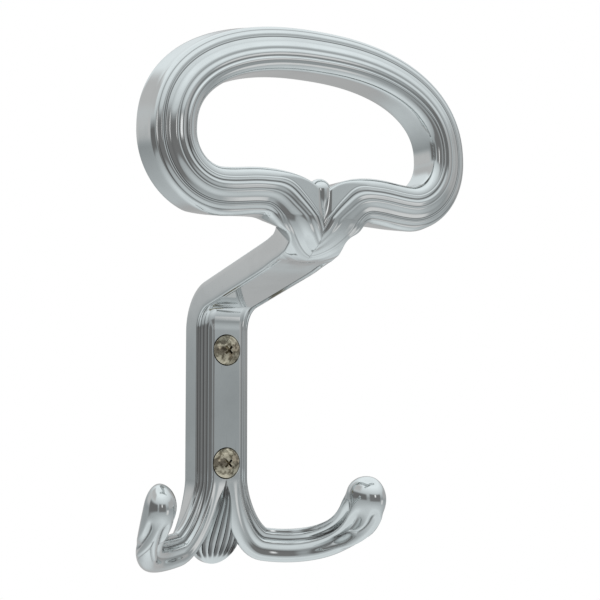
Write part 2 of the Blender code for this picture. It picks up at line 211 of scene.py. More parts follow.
class CastingSettings(bpy.types.PropertyGroup):
    """Sizes and finish of the casting."""
    plate_width: length("Plate width", "Width of the plate and the neck", 0.0160)
    wall_depth: length("Wall depth", "Depth of the plate's side walls", 0.0064)
    plate_foot: length("Plate foot", "Height where the plate parts into the hooks", -0.0194)
    neck_low: length("Neck, low", "Height where the neck's line meets the plate's", 0.0286)
    neck_high: length("Neck, high", "Height where the neck's line meets the loop's", 0.0405)
    lower_bend: length("Lower bend", "Radius of the bend between plate and neck", 0.0102)
    upper_bend: length("Upper bend", "Radius of the bend between neck and loop", 0.0071)
    panel_rise: length("Panel rise", "Height of the plate's panel above its side walls", 0.0026)
    loop_width: length("Loop width", "Greatest width of the hat loop", 0.0909)
    loop_top: length("Loop top", "Height of the loop's upper edge", 0.0927)
    loop_waist: length("Loop waist", "Height of the loop's widest place", 0.0638)
    loop_foot: length("Loop foot", "Height of the loop's lowest edge", 0.0450)
    loop_reach: length("Loop reach", "Reach of the loop's front from the wall", 0.0568)
    loop_flare: length("Loop flare", "Flare of the loop's outer wall towards its back", 0.0006)
    arch_power: share("Arch fullness", "Fullness of the loop's arch, 1 for an ellipse", 0.867)
    band_width: length("Band width", "Width of the loop's band", 0.0111)
    band_crown: length("Band crown", "Fall of the band's front from its inner to its outer edge", 0.0019)
    band_depth: length("Band depth", "Depth of the loop's band from front to back", 0.0092)
    lobe_centre: length("Lobe centre", "Place of the loop's lower lobes from the middle", 0.0275)
    hump_centre: length("Hump centre", "Place where the fork starts from the middle", 0.0157)
    hump_rise: length("Hump rise", "Rise of the band from the lobe to the fork", 0.0009)
    fork_drop: length("Fork drop", "Height in which the bands turn down into the neck", 0.0099)
    fork_swell: length("Fork swell", "Swell of the bands towards each other in the fork", 0.0034)
    fork_fillet: length("Fork fillet", "Fill of the corner between the loop and the neck", 0.0013)
    fork_tip: length("Fork tip", "Height on the flat drawing where the outer beads meet", 0.0385)
    fork_step: length("Fork step", "Step from the bands down to the neck's front", 0.0007)
    rim_fade: length("Rim fade", "Length in which the neck's rim runs out below the fork's tip", 0.0030)
    bead_rise: length("Bead rise", "Rise of the outer beads from the fork's tip", 0.0092)
    bead_run: length("Bead run", "Place from the middle where the outer beads have risen", 0.0175)
    lip_meet: length("Lip meeting", "Height on the flat drawing where the lips meet", 0.0450)
    lip_rise: length("Lip rise", "Rise of the lips from their meeting", 0.0114)
    lip_run: length("Lip run", "Place from the middle where the lips have risen", 0.0160)
    crease_end: length("Crease end", "Height on the flat drawing where the crease ends", 0.0412)
    crease_width: length("Crease width", "Half width of the crease", 0.0022)
    crease_depth: length("Crease depth", "Depth of the crease below the bands", 0.0014)
    bud_radius: length("Bud radius", "Radius of the bud in the fork", 0.0029)
    bud_reach: length("Bud reach", "Reach of the bud's front from the wall", 0.0579)
    bud_height: length("Bud height", "Height of the bud's middle", 0.0528)
    bud_tail: length("Bud tail", "Length of the bud's tail", 0.0064)
    hook_radius: length("Hook radius", "Reach of the hook's curve along its sheet", 0.0291)
    hook_drop: length("Hook drop", "Depth of the hook's curve", 0.02098)
    hook_centre_out: length("Hook centre", "Place of the hook's curve along its sheet", 0.0160)
    hook_centre_height: length("Hook centre height", "Height of the hook's middle", -0.0174)
    hook_height: length("Hook height", "Height of the hook's section", 0.0088)
    hook_thickness: length("Hook thickness", "Thickness of the hook's section", 0.0059)
    hook_twist: angle("Hook twist", "Twist of the hook's section towards its tip", 21.6)
    twist_start: share("Twist start", "Share of the hook where its twist starts", 0.29)
    bulb_start: share("Bulb start", "Share of the hook where its bulb starts", 0.66)
    root_heading: angle("Root heading", "Turn of the hook's root out from the wall", -1.7)
    tip_heading: angle("Tip heading", "Turn of the hook's tip out from the wall", 90.5)
    tip_length: length("Tip length", "Length of the bulb's rounded end", 0.0058)
    root_pull: share("Root pull", "How far the hook's root runs straight down before it turns", 0.24)
    hook_start: angle("Hook start", "Angle where the hook's curve starts", -102)
    hook_end: angle("Hook end", "Angle where the hook's curve ends in its bulb", -19.3)
    bend_swell: share("Bend swell", "Size of the hook's section in the middle of its bend", 1.045)
    bulb_swell: share("Bulb swell", "Size of the hook's bulb", 1.355)
    leaf_edge: length("Leaf edge", "Height of the edges of the leaf on each bulb", 0.0005)
    leaf_hollow: length("Leaf hollow", "Depth of the hollows beside the leaf", 0.0012)
    leaf_spread: angle("Leaf spread", "Turn of the leaf's edges from its middle at its foot", 50)
    tail_top: length("Tail top", "Height of the fluted tail's apex", -0.0185)
    tail_end: length("Tail end", "Height of the fluted tail's lower end", -0.0429)
    tail_width: length("Tail width", "Greatest width of the fluted tail", 0.0138)
    flute_depth: length("Flute depth", "Depth of the flutes in the tail", 0.0010)
    plate_tint: colour("Plate tint", "Colour of the bright plate", (0.72, 0.74, 0.74))
    # Painted shade: the dark colour painted into the plate's hollows, where shade would fall
    painted_shade_tint: colour("Hollow tint", "Colour of the plate in its hollows", (0.22, 0.22, 0.22))


class ScrewSettings(bpy.types.PropertyGroup):
    """Sizes and finish of the two screws."""
    spacing: length("Spacing", "Distance between the screws", 0.0306)
    head_diameter: length("Head", "Diameter of the raised countersunk head", 0.0080)
    dome_height: length("Dome", "Rise of the head above the panel", 0.0013)
    thread_diameter: length("Thread", "Outer diameter of the thread", 0.0040)
    core_diameter: length("Core", "Diameter of the shank inside the thread", 0.0029)
    thread_pitch: length("Pitch", "Rise of the thread in one turn", 0.0018)
    screw_length: length("Length", "Length below the panel's face", 0.0200)
    point_length: length("Point", "Length of the tapered point", 0.0050)
    recess_span: length("Recess span", "Length of each slot of the cross recess", 0.0038)
    recess_slot: length("Recess slot", "Width of each slot of the cross recess", 0.0007)
    recess_depth: length("Recess depth", "Depth of the cross recess", 0.0014)
    brass_tint: colour("Brass tint", "Colour of the screws", (0.60, 0.54, 0.42))
    tarnish_tint: colour("Tarnish tint", "Colour of the tarnish on the screws", (0.10, 0.08, 0.05))


class StudioSettings(bpy.types.PropertyGroup):
    """The camera, the floor and the light."""
    camera_place: FloatVectorProperty(name="Camera", description="Place of the camera", unit='LENGTH',
                                      default=(-0.1763, -0.3262, 0.0012), subtype='TRANSLATION')
    camera_turn: angle("Camera turn", "Turn of the camera to the right of straight on", 32.2)
    camera_pitch: angle("Camera pitch", "Tilt of the camera above level", 4.379)
    camera_lens: FloatProperty(name="Lens", description="Focal length in millimetres", default=79.92)
    floor_height: length("Floor height", "Height of the floor below the hook", -1.5)
    floor_tint: colour("Floor tint", "Colour of the pale floor", (0.85, 0.86, 0.86))


class CoatHookSettings(bpy.types.PropertyGroup):
    """All settings of the coat hook."""
    casting: PointerProperty(type=CastingSettings)
    screws: PointerProperty(type=ScrewSettings)
    studio: PointerProperty(type=StudioSettings)


# Curves and blends
def clamp(value):
    """Keep a value between 0 and 1."""
    return min(max(value, 0), 1)


def lerp(first, second, part):
    """Go evenly from one number at 0 to another at 1, and on past them."""
    return first + (second - first) * part


def ease(start, end, value):
    """Go smoothly from 0 at start to 1 at end."""
    part = clamp((value - start) / (end - start))
    return part * part * (3 - 2 * part)


def bump(value, width):
    """Rise smoothly from 0 to 1 and back within a width each side of 0."""
    return ease(width, 0, abs(value))


def mix(first, second, part):
    """Blend two sections point by point."""
    return [a.lerp(b, part) for a, b in zip(first, second)]


def moulding_height(moulding, place):
    """Height of a moulding at a share of its front, smooth between its crests and hollows."""
    for (left, low), (right, high) in zip(moulding, moulding[1:]):
        if place <= right:
            return MM * lerp(low, high, ease(left, right, place))
    return MM * moulding[-1][1]


# Sections: x runs from the inner edge, below 0, to the outer edge, and y from the back to the front
def corner(x, y, across, out, first):
    """Points after the first of a quarter turn round (x, y), clockwise from an angle in quarter turns."""
    turns = [pi / 2 * (first - step / CORNER_FACES) for step in range(1, CORNER_FACES + 1)]
    return [Vector((x + across * cos(turn), y + out * sin(turn))) for turn in turns]


def wall(start, end):
    """Points of a straight wall after its start."""
    return [start.lerp(end, step / WALL_FACES) for step in range(1, WALL_FACES + 1)]


def moulded_section(height, inner, outer, depth, flare, inner_edge, outer_edge, back_edge):
    """Closed section with a moulded front. The edges are radii, the outer one across and out."""
    back = -depth / 2
    left, right = inner_edge - inner, outer - outer_edge[0]
    section = []
    for step in range(FRONT_FACES + 1):
        place = step / FRONT_FACES
        section.append(Vector((lerp(left, right, place), depth / 2 + height(place))))
    inner_front = section[0].y - inner_edge
    section += corner(right, section[-1].y - outer_edge[1], *outer_edge, 1)
    section += wall(section[-1], Vector((outer + flare, back + back_edge)))
    section += corner(outer + flare - back_edge, back + back_edge, back_edge, back_edge, 0)
    small = min(inner_edge, back_edge)
    section += wall(section[-1], Vector((small - inner, back)))
    section += corner(small - inner, back + small, small, small, -1)
    section += wall(section[-1], Vector((-inner, inner_front)))
    section += corner(left, inner_front, inner_edge, inner_edge, 2)[:-1]
    return section


def fork_share(casting, aside, height):
    """Share of the band's moulding at a place of the fork on the flat drawing.

    The bands' lips run down beside the crease, and their outer beads meet in a V on the neck.
    """
    lip = casting.lip_meet + casting.lip_rise * sin(pi / 2 * min(aside / casting.lip_run, 1))
    part = min(aside / casting.bead_run, 1)
    rise = lerp(ease(0, 1, part), part, BEAD_STRAIGHT)
    bead = casting.fork_tip + casting.bead_rise * rise
    return lerp(LIP_SHARE, BEAD_SHARE, (lip - height) / (lip - bead))


def fork_height(casting, place, fork, aside, height):
    """Height of the front at a share of its width: the band's moulding, and the neck's front below the V."""
    spot = lerp(place, fork_share(casting, aside, height), ease(0, FORK_TURN, fork))
    inside = clamp(spot)
    crown = casting.band_crown * ease(casting.fork_tip, casting.loop_foot, height)
    band = moulding_height(BAND_MOULDING, inside) + crown * (CROWN_ABOVE - inside * inside)
    step = casting.fork_step * ease(casting.neck_low, casting.fork_tip, height)
    rim = ease(casting.fork_tip, casting.fork_tip - casting.rim_fade, height)
    neck = moulding_height(NECK_MOULDING, place * rim) - step
    return lerp(band, neck, ease(1, STEP_END, spot))


def plate_section(casting):
    """Half of the plate: the raised panel, then the beads of its margin."""
    def height(place):
        return moulding_height(PLATE_MOULDING, place)

    quarter = casting.plate_width / 4
    return moulded_section(height, quarter, quarter, casting.wall_depth, flare=0, inner_edge=0,
                           outer_edge=PLATE_OUTER_EDGE, back_edge=PLATE_BACK_EDGE)


def hook_section(casting, count, swell, flute, spread, leaf):
    """Fluted oval at the middle of the plate's thickness, with the two edges of a leaf on its convex side."""
    section = []
    for step in range(count):
        if step <= FRONT_FACES:
            turn = pi * (1 - step / FRONT_FACES)
            relief = flute * moulding_height(HOOK_MOULDING, step / FRONT_FACES)
        else:
            turn = -pi * (step - FRONT_FACES) / (count - FRONT_FACES)
            relief = 0
        aside = abs(pi - abs(turn)) - spread
        edge = casting.leaf_edge * bump(aside, LEAF_EDGE_SPAN)
        hollow = casting.leaf_hollow * bump(aside - LEAF_HOLLOW_PLACE, LEAF_HOLLOW_SPAN)
        relief += leaf * (edge - hollow)
        across = casting.hook_height / 2 * swell + relief
        out = casting.hook_thickness / 2 * swell + relief
        section.append(Vector((across * cos(turn), out * sin(turn) + casting.panel_rise / 2)))
    return section


class SideProfile:
    """The casting's middle line in side view: the loop, the neck and the plate, joined by two bends."""

    def __init__(self, casting):
        self.loop_y = casting.band_depth / 2 - casting.loop_reach
        self.plate_y = -casting.wall_depth / 2
        reach, rise = self.plate_y - self.loop_y, casting.neck_high - casting.neck_low
        self.slope = atan2(rise, reach)
        self.turn = pi / 2 - self.slope
        self.upper_bend, self.lower_bend = casting.upper_bend, casting.lower_bend
        half = tan(self.turn / 2)
        self.upper_start = casting.neck_high + self.upper_bend * half
        self.neck_start = self.upper_start - self.upper_bend * self.turn
        bends = (self.upper_bend + self.lower_bend) * half
        self.lower_start = self.neck_start - hypot(reach, rise) + bends
        self.plate_start = self.lower_start - self.lower_bend * self.turn
        self.plate_end = self.plate_start - (casting.neck_low - self.lower_bend * half - casting.plate_foot)

    def fold(self, across, along, out):
        """Place a point of the flat drawing, out from its middle depth, on the side profile."""
        y, z, pitch = self.loop_y, max(along, self.upper_start), 0
        if along < self.upper_start:
            pitch = (self.upper_start - max(along, self.neck_start)) / self.upper_bend
            y += self.upper_bend * (1 - cos(pitch))
            z -= self.upper_bend * sin(pitch)
        if along < self.neck_start:
            run = self.neck_start - max(along, self.lower_start)
            y += run * cos(self.slope)
            z -= run * sin(self.slope)
        if along < self.lower_start:
            pitch = self.turn - (self.lower_start - max(along, self.plate_start)) / self.lower_bend
            y += self.lower_bend * (cos(pitch) - cos(self.turn))
            z -= self.lower_bend * (sin(self.turn) - sin(pitch))
        if along < self.plate_start:
            z -= self.plate_start - along
        return Vector((across, y - out * cos(pitch), z - out * sin(pitch)))


def flat_path(casting, profile):
    """Middle line of the band on the flat drawing, from the loop's top down, with its share of the fork."""
    side = (casting.loop_width - casting.band_width) / 2
    rise = casting.loop_top - casting.band_width / 2 - casting.loop_waist
    dip = casting.loop_foot + casting.band_width / 2
    hump = dip + casting.hump_rise
    half = casting.plate_width / 4
    path = []
    for step in range(ARCH_STEPS):
        turn = pi / 2 * (1 - step / ARCH_STEPS)
        path.append((side * cos(turn) ** casting.arch_power,
                     casting.loop_waist + rise * sin(turn) ** casting.arch_power, 0))
    for step in range(LOBE_STEPS):
        turn = pi / 2 * step / LOBE_STEPS
        path.append((lerp(casting.lobe_centre, side, cos(turn)), lerp(casting.loop_waist, dip, sin(turn)), 0))
    for step in range(HUMP_STEPS):
        part = step / HUMP_STEPS
        path.append((lerp(casting.lobe_centre, casting.hump_centre, part),
                     lerp(dip, hump, (1 - cos(pi * part)) / 2), 0))
    for step in range(FORK_STEPS + 1):
        part = step / FORK_STEPS
        path.append((lerp(casting.hump_centre, half, sin(pi / 2 * part)),
                     hump - casting.fork_drop * (1 - cos(pi / 2 * part)), part))
    ends = (path[-1][1], profile.neck_start, profile.lower_start, profile.plate_start, profile.plate_end)
    counts = (UPPER_BEND_STEPS, NECK_STEPS, LOWER_BEND_STEPS, PLATE_STEPS)
    for start, end, steps in zip(ends, ends[1:], counts):
        path += [(half, lerp(start, end, step / steps), 1) for step in range(1, steps + 1)]
    return path


def band_section(casting, profile, x, along, fork, outward):
    """Section of the band at one place of the flat drawing, with the direction that its outer edge faces."""
    half = lerp(casting.band_width, casting.plate_width / 2, ease(0, 1, fork)) / 2
    outer = half + casting.fork_fillet * sin(pi * fork) ** 2
    inner = half + casting.fork_swell * sin(pi * fork * fork)
    thinned = ease(profile.upper_start, profile.neck_start - casting.band_depth / 2, along)
    depth = lerp(casting.band_depth, casting.wall_depth, thinned)
    flare = casting.loop_flare * (1 + outward.y) * (1 - fork)
    inner_edge = lerp(LOOP_INNER_EDGE, FORK_INNER_EDGE, ease(0, FORK_TURN, fork))
    inner_edge *= ease(profile.neck_start, profile.upper_start, along)
    edges = zip(LOOP_OUTER_EDGE, NECK_OUTER_EDGE)
    outer_edge = [lerp(loop, neck, ease(0, 1, fork)) for loop, neck in edges]

    def height(place):
        across = (inner + outer) * place - inner
        return fork_height(casting, place, fork, x + across * outward.x, along + across * outward.y)

    section = moulded_section(height, inner, outer, depth, flare, inner_edge, outer_edge, BAND_BACK_EDGE)
    return mix(section, plate_section(casting), ease(profile.lower_start, profile.plate_start, along))


def crease_depth(casting, aside, height):
    """Depth of the crease between the bands, aside of the middle at a height on the flat drawing."""
    near = max(1 - aside / casting.crease_width, 0)
    return casting.crease_depth * near * near * ease(casting.crease_end, casting.bud_height, height)


def band_rings(casting):
    """Rings of points from the loop's top to the plate's foot, meeting the other half below the crotch."""
    profile = SideProfile(casting)
    path = flat_path(casting, profile)
    spine = [Vector(stop[:2]) for stop in path]
    rings = []
    for index, (x, along, fork) in enumerate(path):
        before = spine[index - 1] if index else Vector((-spine[1].x, spine[1].y))
        heading = (spine[min(index + 1, len(spine) - 1)] - before).normalized()
        outward = Vector((-heading.y, heading.x))
        section = band_section(casting, profile, x, along, fork, outward)
        ring = []
        for across, out in section:
            aside, height = x + across * outward.x, along + across * outward.y
            if fork > 0 and aside < MIDDLE_SNAP:
                aside = 0
            if fork > 0 and out > 0:
                out -= crease_depth(casting, aside, height)
            ring.append(profile.fold(aside, height, out))
        rings.append(ring)
    return rings


def hook_point(casting, turn):
    """Point of the right hook's middle line, in a sheet curled forward from the plate, and its heading."""
    reach = casting.hook_centre_out + casting.hook_radius * cos(casting.hook_end)
    root = casting.root_heading
    curl = (casting.tip_heading - root) / reach
    heading = root + curl * (casting.hook_centre_out + casting.hook_radius * cos(turn))
    x = casting.plate_width / 4 + (sin(heading) - sin(root)) / curl
    y = -casting.wall_depth / 2 - (cos(root) - cos(heading)) / curl
    return Vector((x, y, casting.hook_centre_height + casting.hook_drop * sin(turn))), heading


def hook_path(casting):
    """Middle line and headings of the right hook, from the plate's foot to the middle of its bulb."""
    start = Vector((casting.plate_width / 4, -casting.wall_depth / 2, casting.plate_foot))
    sweep = casting.hook_end - casting.hook_start
    first, heading = hook_point(casting, casting.hook_start)
    ahead, _ = hook_point(casting, casting.hook_start + sweep / HOOK_STEPS)
    pull = (first - start).length * casting.root_pull
    below = start - Vector((0, 0, pull))
    before = first - (ahead - first).normalized() * pull
    points = interpolate_bezier(start, below, before, first, ROOT_STEPS + 1)
    path = [(point, heading * ease(0, ROOT_STEPS, step)) for step, point in enumerate(points)]
    turns = [casting.hook_start + sweep * step / HOOK_STEPS for step in range(1, HOOK_STEPS + 1)]
    return path + [hook_point(casting, turn) for turn in turns]


def hook_rings(casting):
    """Rings of points round the right hook below the plate's foot, ending in its rounded bulb."""
    path = hook_path(casting)
    points = [point for point, heading in path]
    end = (points[-1] - points[-2]).normalized()
    points.append(points[-1] + end)
    plate = plate_section(casting)
    rings = []
    for index, (point, heading) in enumerate(path[1:], start=1):
        front = Vector((-sin(heading), -cos(heading), 0))
        outward = front.cross(points[index + 1] - points[index - 1]).normalized()
        part = index / (len(path) - 1)
        bulb = ease(casting.bulb_start, 1, part)
        swell = 1 + (casting.bend_swell - 1) * sin(pi * part) + (casting.bulb_swell - 1) * bulb
        leaf = ease(*LEAF_RISES, part) * (1 - ease(*LEAF_ENDS, part))
        spread = casting.leaf_spread * (1 - ease(LEAF_RISES[0], LEAF_ENDS[0], part))
        flute = (1 + FLUTE_GROWTH * ease(*FLUTES_DEEPEN, part)) * (1 - ease(*FLUTES_END, part))
        oval = hook_section(casting, len(plate), swell, flute, spread, leaf)
        section = mix(plate, oval, ease(0, ROOT_STEPS, index))
        twist = Matrix.Rotation(casting.hook_twist * ease(casting.twist_start, 1, part), 2)
        turned = [twist @ place for place in section]
        ring = [point + outward * across + front * out for across, out in turned]
        rings.append([Vector((x if x > MIDDLE_SNAP else 0, min(y, 0), z)) for x, y, z in ring])
    tip, last = points[-2], rings[-1]
    for step in range(1, TIP_STEPS + 1):
        turn = pi / 2 * step / TIP_STEPS
        middle = tip + end * casting.tip_length * sin(turn)
        rings.append([middle + (point - tip) * cos(turn) for point in last])
    return rings


# Meshes and objects
def loft(rings):
    """Bend a grid into a tube through rings of points, with its seam and its closed ends merged."""
    around = len(rings[0])
    bm = bmesh.new()
    grid = bmesh.ops.create_grid(bm, x_segments=around, y_segments=len(rings) - 1, size=0.5)
    for vert in grid["verts"]:
        column = round((vert.co.x + 0.5) * around)
        row = round((vert.co.y + 0.5) * (len(rings) - 1))
        vert.co = rings[row][column % around]
    bmesh.ops.remove_doubles(bm, verts=bm.verts, dist=WELD)
    return bm


def join_mirror_image(bm):
    """Open a half where it lies in the middle plane, and join its mirror image to it there."""
    close = [face for face in bm.faces if sum(vert.co.x == 0 for vert in face.verts) > 2]
    bmesh.ops.triangulate(bm, faces=close)
    inside = [face for face in bm.faces if all(vert.co.x == 0 for vert in face.verts)]
    bmesh.ops.delete(bm, geom=inside, context='FACES')
    half = bm.verts[:] + bm.edges[:] + bm.faces[:]
    bmesh.ops.mirror(bm, geom=half, axis='X', merge_dist=MIRROR_MERGE)


def fill_ends(bm):
    """Close the open ends of a shape."""
    bmesh.ops.holes_fill(bm, edges=[edge for edge in bm.edges if edge.is_boundary])


def add_object(name, data):
    """Make an object of a mesh, a lamp or a camera, and link it to the scene."""
    made = bpy.data.objects.new(name, data)
    bpy.context.scene.collection.objects.link(made)
    return made


def add_mesh(name, bm, material=None):
    """Make an object from a bmesh."""
    mesh = bpy.data.meshes.new(name)
    bm.to_mesh(mesh)
    bm.free()
    if material:
        mesh.materials.append(material)
    return add_object(name, mesh)


def add_piece(name, bm, material, sharp=None, painted_shade_radius=PAINTED_SHADE_RADIUS):
    """Make a piece of the object from a bmesh, riding on the one body."""
    bmesh.ops.recalc_face_normals(bm, faces=bm.faces)
    # Painted shade: each vertex gets how dark its hollow is painted
    mark_painted_shade(bm, painted_shade_radius)
    piece = add_mesh(name, bm, material)
    piece.data.shade_smooth()
    if sharp:
        piece.data.set_sharp_from_angle(angle=sharp)
    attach(piece, BODY)
    return piece


def mark_painted_shade(bm, radius):
    """Give each vertex the attribute of painted shade in hollows: its hollow bend, as a share of that of a
    radius.
    """
    bm.normal_update()
    # The hollow layer holds how strongly painted shade darkens each vertex's colour
    layer = bm.verts.layers.float.new("hollow")
    for vert in bm.verts:
        sides = [edge.other_vert(vert).co - vert.co for edge in vert.link_edges]
        bend = sum(2 * side.dot(vert.normal) / side.length_squared for side in sides) / len(sides)
        vert[layer] = clamp(bend * radius)


def spun(profile):
    """Closed turned shape about the z axis, from a profile of radius and height points."""
    bm = bmesh.new()
    verts = [bm.verts.new((radius, 0, height)) for radius, height in profile]
    edges = [bm.edges.new(pair) for pair in zip(verts, verts[1:])]
    bmesh.ops.spin(bm, geom=verts + edges, axis=(0, 0, 1), cent=(0, 0, 0), angle=tau,
                   steps=TURN_STEPS, use_merge=True)
    bmesh.ops.remove_doubles(bm, verts=bm.verts, dist=WELD)
    bmesh.ops.recalc_face_normals(bm, faces=bm.faces)
    return bm


def face_room(bm, height, casting):
    """Point a turned shape's top into the room, with height 0 on the plate's panel."""
    bmesh.ops.rotate(bm, verts=bm.verts, matrix=Matrix.Rotation(pi / 2, 3, 'X'))
    bmesh.ops.translate(bm, verts=bm.verts, vec=(0, -casting.wall_depth - casting.panel_rise, height))


def cut(piece, bm, sharp):
    """Cut a closed shape out of a piece, and mark its sharp edges."""
    cutter = add_mesh("cutter", bm)
    boolean = piece.modifiers.new("Cut", 'BOOLEAN')
    boolean.object = cutter
    boolean.operation = 'DIFFERENCE'
    boolean.solver = 'EXACT'
    graph = bpy.context.evaluated_depsgraph_get()
    spent = (piece.data, cutter.data)
    piece.data = bpy.data.meshes.new_from_object(piece.evaluated_get(graph))
    piece.modifiers.clear()
    bpy.data.objects.remove(cutter)
    for mesh in spent:
        bpy.data.meshes.remove(mesh)
    piece.data.name = piece.name
    weld_slivers(piece.data)
    piece.data.set_sharp_from_angle(angle=sharp)


def weld_slivers(mesh):
    """Close up the sliver faces that a cut leaves where its edges meet the edges of the piece."""
    bm = bmesh.new()
    bm.from_mesh(mesh)
    bmesh.ops.remove_doubles(bm, verts=bm.verts, dist=WELD)
    bmesh.ops.dissolve_degenerate(bm, dist=WELD, edges=bm.edges)
    bm.to_mesh(mesh)
    bm.free()


# Screws and tail
def screw_heights(screws):
    """Height of each screw's axis, by its name."""
    return {"upper_screw": screws.spacing / 2, "lower_screw": -screws.spacing / 2}


def hole_shape(screws, casting):
    """Countersunk hole for one screw, with a clearance all round, open at the panel and at the wall face."""
    head, shank = screws.head_diameter / 2 + SEAT_GAP, screws.thread_diameter / 2 + SEAT_GAP
    past = 2 * screws.dome_height
    through = -casting.wall_depth - casting.panel_rise - past
    return spun(((0, past), (head, past), (head, 0), (shank, shank - head), (shank, through), (0, through)))


def screw_profile(screws):
    """Raised countersunk wood screw with its rim at height 0: dome, rounded rim, cone, core and point."""
    head, core = screws.head_diameter / 2, screws.core_diameter / 2
    ball = (head * head + screws.dome_height ** 2) / (2 * screws.dome_height)
    reach = asin(head / ball)
    turns = [reach * step / TURN_STEPS for step in range(TURN_STEPS)]
    dome = [(ball * sin(turn), ball * cos(turn) - ball + screws.dome_height) for turn in turns]
    rim = [(head, -RIM_ROUND), (head - RIM_ROUND, -RIM_DEPTH)]
    tip = -screws.screw_length
    return dome + rim + [(core, core - head), (core, tip + screws.point_length), (0, tip)]


def recess_shape(screws, turn):
    """One slot of the cross recess, narrower towards its floor."""
    bm = bmesh.new()
    sides = Matrix.Diagonal((screws.recess_span, screws.recess_slot, 2 * screws.recess_depth, 1))
    bmesh.ops.create_cube(bm, size=1, matrix=sides)
    for vert in bm.verts:
        if vert.co.z < 0:
            vert.co.x *= RECESS_TAPER[0]
            vert.co.y *= RECESS_TAPER[1]
    bmesh.ops.rotate(bm, verts=bm.verts, matrix=Matrix.Rotation(turn, 3, 'Z'))
    bmesh.ops.translate(bm, verts=bm.verts, vec=(0, 0, screws.dome_height))
    return bm


def thread_shape(screws):
    """Sharp helical thread on the screw's core, shrinking along the point."""
    bm = bmesh.new()
    core, crest, pitch = screws.core_diameter / 2, screws.thread_diameter / 2, screws.thread_pitch
    top = core - screws.head_diameter / 2 - pitch
    turns = (top + screws.screw_length) / pitch - 1
    root, flank = core - THREAD_ROOT, THREAD_FLANK * pitch
    corners = ((root, top - flank), (crest, top), (root, top + flank))
    verts = [bm.verts.new((radius, 0, height)) for radius, height in corners]
    edges = [bm.edges.new(pair) for pair in zip(verts, verts[1:] + verts[:1])]
    bmesh.ops.spin(bm, geom=verts + edges, axis=(0, 0, 1), cent=(0, 0, 0), angle=tau * turns,
                   steps=round(turns * THREAD_STEPS), dvec=(0, 0, -pitch / THREAD_STEPS))
    fill_ends(bm)
    for vert in bm.verts:
        taper = min((vert.co.z + screws.screw_length) / screws.point_length, 1)
        vert.co.x *= taper
        vert.co.y *= taper
    return bm


def tail_rings(casting):
    """Rings of the fluted tail between the hooks, from its apex to its smooth round end."""
    front = casting.wall_depth + casting.panel_rise
    rings = []
    for level in range(TAIL_LEVELS + 1):
        part = lerp(TAIL_START, 1, sin(pi / 2 * level / TAIL_LEVELS))
        height = lerp(casting.tail_top, casting.tail_end, part)
        half = casting.tail_width / 2 * sqrt(max(sin(pi * part * part), 0))
        depth = front * cos(pi / 2 * part)
        swell = TAIL_RIM + TAIL_SWELL * ease(*TAIL_SWELLS, part)
        fluted = ease(*TAIL_FLUTES_START, part) * (1 - ease(*TAIL_FLUTES_END, part))
        ring = [Vector((half, 0, height)), Vector((-half, 0, height))]
        for column in range(TAIL_COLUMNS + 1):
            across = 2 * column / TAIL_COLUMNS - 1
            turn = pi * TAIL_FLUTES * column / TAIL_COLUMNS
            hollow = casting.flute_depth * fluted * sin(turn % pi)
            bulge = swell + depth * (1 - TAIL_CROWN * across * across)
            ring.append(Vector((half * across, hollow - bulge, height)))
        rings.append(ring)
    return rings


# Materials
def new_material(name):
    """Make a material with nodes, and return it with its node tree."""
    material = bpy.data.materials.new(name)
    material.use_nodes = True
    return material, material.node_tree


def feed(tree, node, **values):
    """Set a node's inputs by name: link what is given as a socket, and write the rest."""
    for name, value in values.items():
        put(tree, node.inputs[name.replace("_", " ")], value)


def put(tree, socket, value):
    """Link or write one value into a socket."""
    if isinstance(value, bpy.types.NodeSocket):
        tree.links.new(value, socket)
    else:
        socket.default_value = value


def add_node(tree, kind, place, **values):
    """Add a shader node at a column and row, and feed its inputs."""
    node = tree.nodes.new(kind)
    node.location = (place[0] * NODE_SPACING, -place[1] * NODE_SPACING)
    feed(tree, node, **values)
    return node


def math_node(tree, place, operation, *values):
    """Add a maths node fed by sockets or numbers, and return its result."""
    node = add_node(tree, 'ShaderNodeMath', place)
    node.operation = operation
    for socket, value in zip(node.inputs, values):
        put(tree, socket, value)
    return node.outputs[0]


def colour_mix(tree, place, factor, first, second):
    """Add a mix of two colours, and return its result."""
    node = add_node(tree, 'ShaderNodeMix', place)
    node.data_type = 'RGBA'
    feed(tree, node, Factor=factor, A=first, B=second)
    return node.outputs["Result"]


def new_group(name, inputs, outputs):
    """Make a shader group with number inputs, given with their defaults, and number outputs."""
    tree = bpy.data.node_groups.new(name, 'ShaderNodeTree')
    for title, default in inputs.items():
        socket = tree.interface.new_socket(title, in_out='INPUT', socket_type='NodeSocketFloat')
        socket.default_value = default
    for title in outputs:
        tree.interface.new_socket(title, in_out='OUTPUT', socket_type='NodeSocketFloat')
    return tree


def smudge_group():
    """Shared effect: handling marks and the slight unevenness of a buffed metal surface."""
    tree = bpy.data.node_groups.get("Buffed metal")
    if tree:
        return tree
    inputs = {"Ripple size": 260, "Smudge size": 90, "Grain size": 2600}
    tree = new_group("Buffed metal", inputs, outputs=("Smudge", "Height"))
    sizes = add_node(tree, 'NodeGroupInput', (0, 0)).outputs
    place = add_node(tree, 'ShaderNodeTexCoord', (0, 1)).outputs["Object"]
    ripple = add_node(tree, 'ShaderNodeTexNoise', (2, 0), Vector=place, Scale=sizes["Ripple size"],
                      Detail=2.0, Roughness=0.4).outputs["Fac"]
    smudge = add_node(tree, 'ShaderNodeTexNoise', (2, 1), Vector=place, Scale=sizes["Smudge size"],
                      Detail=5.0, Roughness=0.6).outputs["Fac"]
    grain = add_node(tree, 'ShaderNodeTexNoise', (2, 2), Vector=place, Scale=sizes["Grain size"],
                     Detail=1.0).outputs["Fac"]
    height = math_node(tree, (3, 2), 'MULTIPLY_ADD', grain, GRAIN_SHARE, ripple)
    add_node(tree, 'NodeGroupOutput', (5, 0), Smudge=smudge, Height=height)
    return tree


